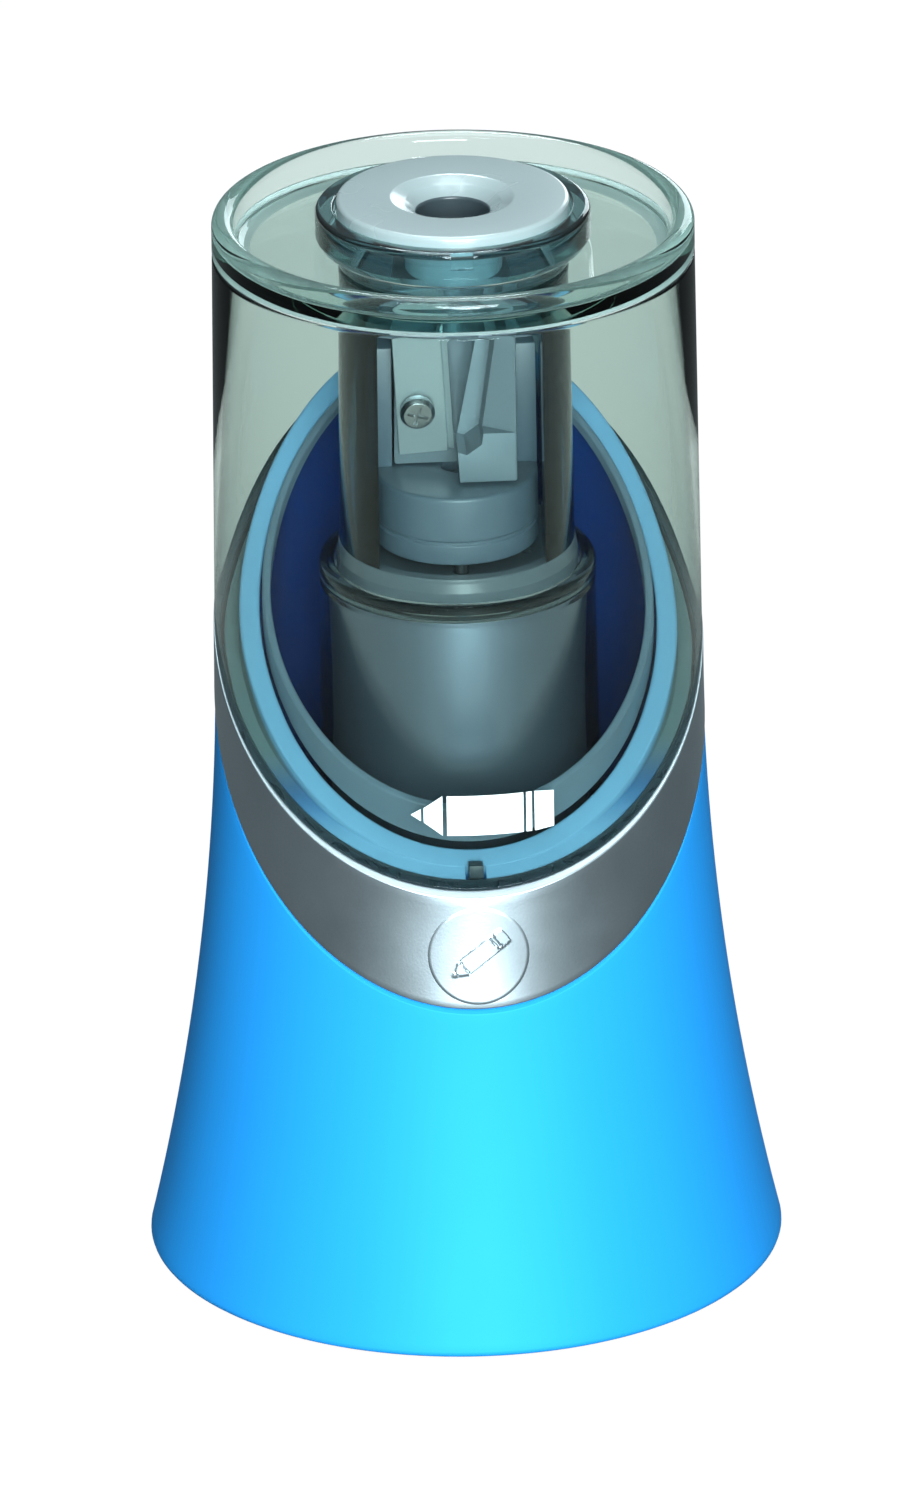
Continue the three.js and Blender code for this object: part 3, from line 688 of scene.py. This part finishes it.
def trim_band():
    samples = 12

    def section(angle):
        low, high = cut_height(BAND_LOW, angle), cut_height(BAND_TOP, angle)
        inner_low = plane_height(BAND_LOW, LAND_R, angle)
        inner_high = plane_height(BAND_TOP, LAND_R, angle)
        ledge = plane_height(BAND_TOP, LEDGE_R, angle)
        corners = [(LAND_R, inner_low, 0.15), (outer_radius(low) + BAND_PROUD, low, 0.22)]
        for i in range(1, samples):
            z = low + (high - low) * i / samples
            corners.append((outer_radius(z) + BAND_PROUD, z, 0))
        corners += [(outer_radius(high) + BAND_PROUD, high, 0.3), (LEDGE_R, ledge, 0), (LAND_R, inner_high, 0.2)]
        return rounded(corners)

    return turned("trim_band_satin", section)


def shavings_bowl():
    def section(angle):
        ledge = [plane_height(BAND_TOP, r, angle) - 0.6 for r in (BOWL_FOOT_R, BOWL_WALL_R)]
        rim = [plane_height(BOWL_RIM, r, angle) for r in (BOWL_WALL_R, BOWL_INNER_R)]
        return rounded([(BOWL_BORE_R, 44.6, 0.2), (BOWL_INNER_R, 44.6, 0), (BOWL_INNER_R, 37, 0.2),
                        (BOWL_FOOT_R, 37, 0.2), (BOWL_FOOT_R, ledge[0], 0.15), (BOWL_WALL_R, ledge[1], 0.15),
                        (BOWL_WALL_R, rim[0], 0.45), (BOWL_INNER_R, rim[1], 0.45), (BOWL_INNER_R, 47, 1.5),
                        (BOWL_BORE_R, 47, 0.2)])

    bowl = turned("shavings_bowl_blue", section)
    carve(bowl, block("keyway", (-1.3, -29, 36), (1.3, -26.7, 66)))
    return shade(bowl)


def liner_split(angle):
    """Height where the liner's clear cup ends and its frosted rim begins."""
    return min(plane_height(BOWL_RIM, LINER_MIDDLE_R, angle) - 0.5,
               plane_height(LINER_RIM, LINER_MIDDLE_R, angle) - 1.2)


def liner_cup():
    def section(angle):
        top = liner_split(angle)
        return rounded([(LINER_BORE_R, 47.3, 0.1), (LINER_OUTER_R, 47.3, 0.8), (LINER_OUTER_R, top, 0),
                        (LINER_INNER_R, top, 0), (LINER_INNER_R, 48.4, 0.8), (LINER_BORE_R, 48.4, 0.1)])

    return turned("shavings_liner_cup", section)


def liner_rim():
    def section(angle):
        top = [plane_height(LINER_RIM, r, angle) for r in (LINER_OUTER_R, LINER_INNER_R)]
        low = liner_split(angle) + 0.02
        return rounded([(LINER_INNER_R, low, 0), (LINER_OUTER_R, low, 0), (LINER_OUTER_R, top[0], 0.4),
                        (LINER_INNER_R, top[1], 0.4)])

    return turned("shavings_liner_rim", section)


def bottom_plate():
    plate = plain_turned("bottom_plate_black", [(0, 1.2, 0), (36.2, 1.2, 0.4), (36.6, 3.6, 0.3), (0, 3.6, 0)])
    for x, y in around_axis(SCREW_CIRCLE_R, SCREW_TURNS):
        carve(plate, drum("hole", 1.6, 0, 5, 24, (x, y)), drum("counterbore", 3.3, 0, 2.6, 40, (x, y)))
    for x, y in around_axis(FOOT_CIRCLE_R, FOOT_TURNS):
        carve(plate, drum("socket", 4.9, 0, 2, 48, (x, y)))
    for radius in (14, 20):
        carve(plate, plain_turned("groove", [(radius, 1, 0), (radius + 0.8, 1, 0), (radius + 0.8, 1.6, 0.2),
                                             (radius, 1.6, 0.2)], 96))
    return shade(plate)


def rubber_foot(name, spot):
    foot = plain_turned(name, [(0, 0.15, 0), (2.6, 0.15, 0.1), (2.9, 0, 0.1), (4.1, 0, 0.2), (4.5, 0.5, 0.4),
                               (4.5, 1.7, 0.1), (0, 1.7, 0)], 48)
    return shift(foot, spot[0], spot[1], 0)


def dc_jack():
    shell = block("dc_jack_black", (-4.6, 20, 8.7), (4.6, 30, JACK_Z + 5.2))
    soften(shell, 0.4)
    for name, radius, middle, depth, action in (("barrel", 3.9, 32.2, 6, weld), ("bore", 3.1, 32, 12, carve),
                                                ("pin", 1.0, 29.4, 10, weld)):
        action(shell, lay_along_y(drum(name, radius, -depth / 2, depth / 2), 0, middle, JACK_Z))
    return shade(shell)


def screw(name, head_r, head_h, shank_r, length):
    """A screw standing on its head, its shank upward, with a cross recess."""
    tip = head_h + length
    outline = [(0, 0, 0), (head_r * 0.8, 0, 0.2), (head_r, head_h * 0.4, 0.2), (head_r, head_h, 0.05),
               (shank_r, head_h, 0.05), (shank_r, tip - 0.5, 0), (shank_r * 0.5, tip, 0), (0, tip, 0)]
    piece = plain_turned(name, outline, 48)
    reach, half, depth = head_r * 0.6, head_r * 0.11, head_h * 0.5
    for low, high in (((-reach, -half), (reach, half)), ((-half, -reach), (half, reach))):
        carve(piece, block("recess", (*low, -1), (*high, depth)))
    return shade(piece)


def coil(name, radius, wire, low, high, turns):
    """A helical spring of round wire whose ends lie flat."""
    flat_turns, sides = 0.35, 12
    bm = bmesh.new()
    steps = int(turns * 40)
    rows = []
    for i in range(steps + 1):
        share = i / steps
        lift = min(max((share * turns - flat_turns) / (turns - 2 * flat_turns), 0), 1)
        angle = 2 * math.pi * turns * share
        z = low + wire + (high - low - 2 * wire) * lift
        row = []
        for k in range(sides):
            a = 2 * math.pi * k / sides
            r = radius + wire * math.cos(a)
            row.append(bm.verts.new((r * MM * math.cos(angle), r * MM * math.sin(angle),
                                     (z + wire * math.sin(a)) * MM)))
        rows.append(row)
    bridge(bm, rows)
    cap_ends(bm, rows)
    return finish_mesh(bm, name)


# ---- lift-off cover -----------------------------------------------------------------------------
def cover_cylinder():
    top = SEAM_Z - 0.1

    def section(angle):
        outer_low = plane_height(BAND_TOP, WAIST_R, angle)
        inner_low = plane_height(BAND_TOP, COVER_INNER_R, angle)
        waist = max(WAIST_Z, outer_low + 0.8)
        return rounded([(COVER_INNER_R, inner_low, 0.25), (WAIST_R, outer_low, 0.3),
                        (outer_radius(waist), waist, 0), (outer_radius(top), top, 0.3),
                        (COVER_INNER_R, top, 0.2)])

    return turned("cover_cylinder_clear", section)


# Painted shade: a dark block in the bowl's keyway notch, where shade falls.
def cover_key():
    return soften(block("cover_key_painted_shade", (-0.9, -29.05, 61.2), (0.9, -27.15, 62.9)), 0.15)


def cover_lid():
    rim_r, low, step_z = outer_radius(SEAM_Z), LID_FLOOR_Z - 1.8, 133.4
    return plain_turned("cover_lid_clear", [
        (LID_BORE_R, low, 0.2), (LID_FROST_R, low, 0), (27.8, low, 0.3), (27.8, step_z, 0.1), (rim_r, step_z, 0.3),
        (rim_r, RIM_Z, 1.25), (27.25, RIM_Z, 1.25), (26.9, LID_FLOOR_Z, 1.4), (LID_BORE_R, LID_FLOOR_Z, 0.15)],
        arc_steps=9)


def top_collar():
    collar = plain_turned("top_collar_clear", [
        (12.7, 130.5, 0.2), (14.6, 130.5, 0.5), (14.6, 134.7, 0.1), (16.55, 134.7, 0.3), (17.05, 135.6, 0.4),
        (17.05, 139.2, 0.7), (14.7, 139.2, 0.35), (14.7, 137.7, 0.1), (12.7, 137.7, 0.2)], arc_steps=7)
    carve(collar, block("notch", (-1.4, -18, 137), (1.4, -16.55, 140)))
    return shade(collar)


def cap_plate():
    return plain_turned("cap_plate_grey", [
        (MOUTH_R, 131.6, 0.3), (6.2, 131.6, 0.3), (6.2, 138, 0.3), (14.4, 138, 0.2), (14.4, PLATE_TOP, 0.5),
        (7.6, PLATE_TOP, 1.2), (6.0, PLATE_TOP - 0.7, 1.2), (MOUTH_R, PLATE_TOP - 2.0, 0.5)], arc_steps=7)


# ---- tower and motor housing ---------------------------------------------------------------------
def tower():
    body = plain_turned("tower_clear", [
        (TOWER_BORE_R, 95, 0), (14.72, 95, 0), (14.6, TOWER_TOP, 1.0), (TOWER_BORE_R, TOWER_TOP, 0.2)], 120)
    for side in (-1, 1):
        x = sorted((side * WINDOW_HALF, side * (WINDOW_HALF + 1.6)))
        rib = block("rib", (x[0], -10.2, 95), (x[1], -2.2, TOWER_TOP - 0.4))
        shell = plain_turned("rib_limit", [(11.1, 90, 0), (14.0, 90, 0), (14.0, 131, 0), (11.1, 131, 0)], 96)
        combine(rib, shell, "INTERSECT")
        weld(body, rib)
    window = block("window", (-WINDOW_HALF, -17, 90), (WINDOW_HALF, -7, 127.8))
    soften(window, 0.7, 3)
    carve(body, window)
    return shade(body)


def tower_seat():
    seat = plain_turned("tower_seat_frosted", [
        (3.4, TOWER_FLOOR, 0), (15.05, TOWER_FLOOR, 0.3), (15.05, 93.2, 0.5), (14.8, 94.4, 0.4),
        (14.75, 94.97, 0.2), (TOWER_BORE_R, 94.97, 0.2), (TOWER_BORE_R, 93.3, 0.8), (3.4, 93.3, 0.2)], 120)
    carve(seat, drum("peg_hole", 1.25, 90, 95, 24, (0, PEG_Y)))
    return shade(seat)


def motor_housing():
    return plain_turned("motor_housing_clear", [
        (15.9, 42.3, 0), (24, 42.3, 0.3), (24, 44.3, 0.3), (17.45, 44.3, 0.3), (17.2, 89.6, 0.4),
        (16.95, 90.1, 0.2), (17.3, 90.6, 0.3), (17.3, HOUSING_TOP, 0.75), (15.35, HOUSING_TOP, 0.5),
        (15.35, 90.7, 0.2), (16.2, 90.2, 0.1), (16.2, 80, 0)], 120)


def housing_sleeve():
    return plain_turned("motor_housing_core", [
        (15.2, 47.4, 0.1), (15.9, 47.4, 0.1), (15.9, 89.9, 0.4), (15.2, 89.9, 0.1)], 120)


# ---- cutter -------------------------------------------------------------------------------------
def thrust_collar():
    ring = plain_turned("thrust_collar_black", [
        (3.5, 97, 0.2), (9.2, 97, 0.3), (9.2, 98.3, 0.3), (3.5, 98.3, 0.2)], 96)
    weld(ring, drum("peg", 0.9, 91.3, 97.2, 32, (0, PEG_Y)))
    return shade(ring)


def cutter_carrier():
    body = plain_turned("cutter_carrier_grey", [
        (1.75, 98.6, 0), (9.65, 98.6, 0.2), (9.65, 94.9, 0.1), (10.2, 94.9, 0.2), (10.2, 97.3, 0.15),
        (10.0, 97.5, 0.05), (10.0, 97.8, 0.05), (10.2, 98.0, 0.15), (10.2, 103.6, 0.5), (1.75, 103.6, 0.3)], 120)
    cradle = block("cradle", (-11, 0.5, 103.2), (11, 9.6, 119))
    soften(cradle, 0.5)
    carve(cradle, block("pocket", (-8, -0.5, 102), (7.6, 6.2, 120)))
    combine(cradle, drum("envelope", 10.2, 94, 120, 120), "INTERSECT")
    weld(body, cradle)
    return shade(body)


def in_blade_face(piece):
    """The blade lies along the pencil cone, turned a little in that face."""
    tilt = Matrix.Rotation(CONE_ANGLE, 4, "X") @ Matrix.Rotation(math.radians(BLADE_SKEW), 4, "Y")
    piece.data.transform(Matrix.Translation((0, 0, CONE_APEX_Z * MM)) @ tilt)
    return piece


def sharpener_body():
    stock = block("sharpener_body_alloy", (-7.7, -6.2, 103.9), (7.3, 5.8, 130))
    soften(stock, 0.35, 2)
    top = 131 - CONE_APEX_Z
    cone = turned("cone", lambda angle: [(0, CONE_APEX_Z), (top * math.tan(CONE_ANGLE), 131), (0, 131)], 96)
    seat = in_blade_face(block("seat", (-9, -12, -8), (0, -0.05, 40)))
    guide = prism("guide", [(-2.5, -8), (7.4, -8), (7.4, -6.3), (0.6, -2.4), (-2.5, -2.4)], 110.3, 135.3)
    mouth = prism("chip_mouth", [(-0.3, 108), (1, 107.6), (2.9, 108.9), (4.7, 121.5), (6, 131), (-1.9, 131)], 0, 8)
    mouth.data.transform(Matrix.Rotation(math.pi / 2, 4, "X"))
    carve(stock, cone, seat, guide, mouth)
    return soften(stock, 0.12, 2, 50)


def sharpener_blade():
    plate = block("sharpener_blade_steel", (-7.2, -0.85, -0.9), (-0.3, -0.25, 22.4))
    soften(plate, 0.08, 1)
    bevel = block("bevel", (-1.5, -1.5, -15), (1.5, 1.5, 15))
    bevel.data.transform(Matrix.Translation((-0.15 * MM, -2.25 * MM, 12 * MM)) @ Matrix.Rotation(-0.42, 4, "Z"))
    hole = lay_along_y(drum("hole", 1.25, -2, 2, 32), SCREW_ACROSS, -0.5, SCREW_ALONG)
    carve(plate, bevel, hole)
    return in_blade_face(shade(plate, 8))


def blade_screw():
    piece = screw("blade_screw_steel", 2.2, 1.3, 0.8, 3.6)
    piece.data.transform(Matrix.Translation((SCREW_ACROSS * MM, -2.45 * MM, SCREW_ALONG * MM))
                         @ Matrix.Rotation(-math.pi / 2, 4, "X") @ Matrix.Rotation(math.radians(20), 4, "Z"))
    return in_blade_face(piece)


# ---- generic pencil marks -----------------------------------------------------------------------
def pencil_parts(length, width, shift_x, middle_z):
    """Outlines (x, z) of a lying pencil: point, wood, barrel, ferrule and eraser."""
    half = width / 2
    x0 = shift_x - length / 2
    spans = ((0.0, 0.07, 0.0, 0.3), (0.09, 0.22, 0.36, 1.0), (0.25, 0.78, 1.0, 1.0), (0.80, 0.84, 1.0, 1.0),
             (0.86, 1.0, 1.0, 0.9))
    parts = []
    for start, end, low_share, high_share in spans:
        a, b = x0 + start * length, x0 + end * length
        lo, hi = half * low_share, half * high_share
        if lo < 0.01:
            parts.append([(a, middle_z), (b, middle_z - hi), (b, middle_z + hi)])
        else:
            parts.append([(a, middle_z - lo), (b, middle_z - hi), (b, middle_z + hi), (a, middle_z + lo)])
    return parts


def wrapped(name, outlines, radius_at, low, high):
    """Thin shapes drawn in x and z, convex from left to right, laid round the front of the object."""
    bm = bmesh.new()
    for outline in outlines:
        xs = [x for x, z in outline]
        steps = max(2, int((max(xs) - min(xs)) / 0.4))
        columns = []
        for i in range(steps + 1):
            x = min(xs) + (max(xs) - min(xs)) * i / steps
            heights = []
            for k, (x0, z0) in enumerate(outline):
                x1, z1 = outline[(k + 1) % len(outline)]
                if min(x0, x1) - TINY <= x <= max(x0, x1) + TINY:
                    heights += [z0, z1] if abs(x1 - x0) < TINY else [z0 + (z1 - z0) * (x - x0) / (x1 - x0)]
            corners = []
            for z in (min(heights), max(heights)):
                for lift in (low, high):
                    r = radius_at(z) + lift
                    angle = FRONT + x / r
                    corners.append(bm.verts.new((r * MM * math.cos(angle), r * MM * math.sin(angle), z * MM)))
            columns.append([corners[k] for k in (0, 1, 3, 2)])
        bridge(bm, columns)
        cap_ends(bm, columns)
    bmesh.ops.dissolve_degenerate(bm, dist=MERGE, edges=bm.edges)
    return finish_mesh(bm, name)


def emblem():
    """A plain raised disc with a rim and a simple pencil in relief, on the front of the trim band."""
    rings, steps = 44, 144
    base_lift, mark_lift, edge_width = 0.08, 0.1, 0.25
    marks = pencil_parts(8.6, 2.2, 0, 0)
    turn = math.radians(38)

    def inside(outline, x, z):
        sign = [(x1 - x0) * (z - z0) - (z1 - z0) * (x - x0)
                for (x0, z0), (x1, z1) in zip(outline, outline[1:] + outline[:1])]
        return max(min(sign), min(-v for v in sign))

    def relief(x, z):
        rho = math.hypot(x, z)
        edge = min(max((EMBLEM_R - rho) / edge_width, 0), 1)
        u, v = x * math.cos(turn) + z * math.sin(turn), -x * math.sin(turn) + z * math.cos(turn)
        mark = mark_lift if any(inside(outline, u, v) > 0 for outline in marks) else 0
        return edge * (base_lift + mark)

    bm = bmesh.new()
    rows = []
    for i in range(rings + 1):
        rho = EMBLEM_R * i / rings
        row = []
        for k in range(steps):
            a = 2 * math.pi * k / steps
            x, z = rho * math.cos(a), rho * math.sin(a)
            r = outer_radius(EMBLEM_Z + z) + BAND_PROUD + relief(x, z)
            row.append(bm.verts.new((x * MM, -math.sqrt(r * r - x * x) * MM, (EMBLEM_Z + z) * MM)))
        rows.append(row)
    back = []
    for k in range(steps):
        front_vert = rows[-1][k]
        back.append(bm.verts.new((front_vert.co.x, front_vert.co.y + 0.4 * MM, front_vert.co.z)))
    rows.append(back)
    bridge(bm, rows[1:])
    centre = rows[0][0]
    for k in range(steps):
        bm.faces.new((centre, rows[1][(k + 1) % steps], rows[1][k]))
    middle = bm.verts.new((0, back[0].co.y, EMBLEM_Z * MM))
    for k in range(steps):
        bm.faces.new((middle, back[k], back[(k + 1) % steps]))
    bmesh.ops.delete(bm, geom=[v for v in bm.verts if not v.link_faces], context="VERTS")
    return finish_mesh(bm, "band_emblem", 30)


# ---- placing ------------------------------------------------------------------------------------
place(base_shell(), blue_shell, "base", "blue_shell", "base_shell")
band = place(trim_band(), satin_silver, "base", "satin_silver", "trim_band")
# The band's upward faces inside the ledge take painted shade, dark where the cover's edge shades them.
second_material(band, painted_shade_dark, lambda radius, height, rise: rise > 0.3 and radius < LEDGE_EDGE_R)
place(emblem(), satin_silver, "base", "satin_silver")
place(shavings_bowl(), bowl_blue, "base", "bowl_blue", "shavings_bowl")
place(liner_cup(), liner_clear, "base", "smoke_liner", "shavings_liner")
place(liner_rim(), liner_frost, "base", "smoke_liner", "shavings_liner")
place(bottom_plate(), black_plastic, "base", "black_plastic", "bottom_plate")
place(dc_jack(), black_plastic, "base", "black_plastic", "dc_jack")
for i, (x, y) in enumerate(around_axis(SCREW_CIRCLE_R, SCREW_TURNS), 1):
    fastener = shift(screw(f"bottom_screw_{i}_steel", 2.8, 1.6, 1.2, 10), x, y, 0.8)
    place(fastener, screw_steel, "base", SCREW_SLOT, f"bottom_screw_{i}")
for i, spot in enumerate(around_axis(FOOT_CIRCLE_R, FOOT_TURNS), 1):
    place(rubber_foot(f"foot_{i}_rubber", spot), foot_rubber, "base", "foot_rubber", f"rubber_foot_{i}")
place(cover_cylinder(), smoke_cover, "cover", "smoke_cover", "cover_cylinder")
# The cover's key takes painted shade.
place(cover_key(), painted_shade_dark, "cover", "smoke_cover")
lid = place(cover_lid(), smoke_lid, "cover", "smoke_cover", "cover_lid")
second_material(lid, seam_frost, lambda radius, height, rise: rise < -0.5 and radius > LID_FROST_R)
place(top_collar(), smoke_collar, "cover", "smoke_cover", "top_collar")
plate = place(cap_plate(), cap_grey, "cover", "cap_grey", "cap_plate")
# The mouth's inner tube below the plate top takes painted shade.
second_material(plate, tube_painted_shade,
                lambda radius, height, rise: radius < MOUTH_R + 0.25 and height < PLATE_TOP - 1.6)
place(wrapped("pencil_mark", pencil_parts(18, 5.2, 0.85, 70.2), outer_radius, -0.02, 0.05), print_white, "cover",
      "smoke_cover")
place(tower(), smoke_tower, "base", "smoke_tower", "tower")
place(tower_seat(), tower_frost, "base", "smoke_tower", "tower")
place(motor_housing(), smoke_housing, "base", "grey_housing", "motor_housing")
place(housing_sleeve(), housing_core, "base", "grey_housing", "motor_housing")
place(thrust_collar(), black_plastic, "thrust", "black_plastic", "thrust_collar")
spring = place(coil("return_spring_steel", 4.5, 0.35, 93.6, 96.7, 3), screw_steel, "base", SCREW_SLOT,
               "return_spring")
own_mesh(spring)
spring = place(shift(coil("interlock_spring_steel", 0.5, 0.17, 36.95, 40.85, 7), 0, -27.5, 0), screw_steel, "base",
               SCREW_SLOT, "interlock_spring")
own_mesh(spring)
place(cutter_carrier(), carrier_grey, "cutter", "carrier_grey", "cutter_carrier")
place(sharpener_body(), cast_alloy, "cutter", "cast_alloy", "sharpener_body")
place(sharpener_blade(), blade_steel, "cutter", SCREW_SLOT, "sharpener_blade")
place(blade_screw(), screw_steel, "cutter", SCREW_SLOT, "blade_screw")

# ---- carried-over CAD pieces ---------------------------------------------------------------------
CARRIED = {
    screw_steel: ("motor_screw_1", "motor_screw_2", "drive_shaft", "idler_pin", "motor_rotor",
                  "housing_screw_1", "housing_screw_2", "housing_screw_3"),
    motor_steel: ("motor_can",),
    brass: ("motor_pinion", "output_bush", "motor_terminal_1", "motor_terminal_2", "interlock_lever"),
    nylon: ("idler_gear", "output_gear"),
    black_plastic: ("board_capacitor", "gear_plate", "motor_end_cap", "start_switch", "interlock_switch",
                    "interlock_plunger", "lead_black"),
    cap_grey: ("start_button",),
    board_green: ("circuit_board",),
    lead_red: ("lead_red",),
}
for material, names in CARRIED.items():
    for name in names:
        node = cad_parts[name]
        node.data.materials.clear()
        node.data.materials.append(material.material)
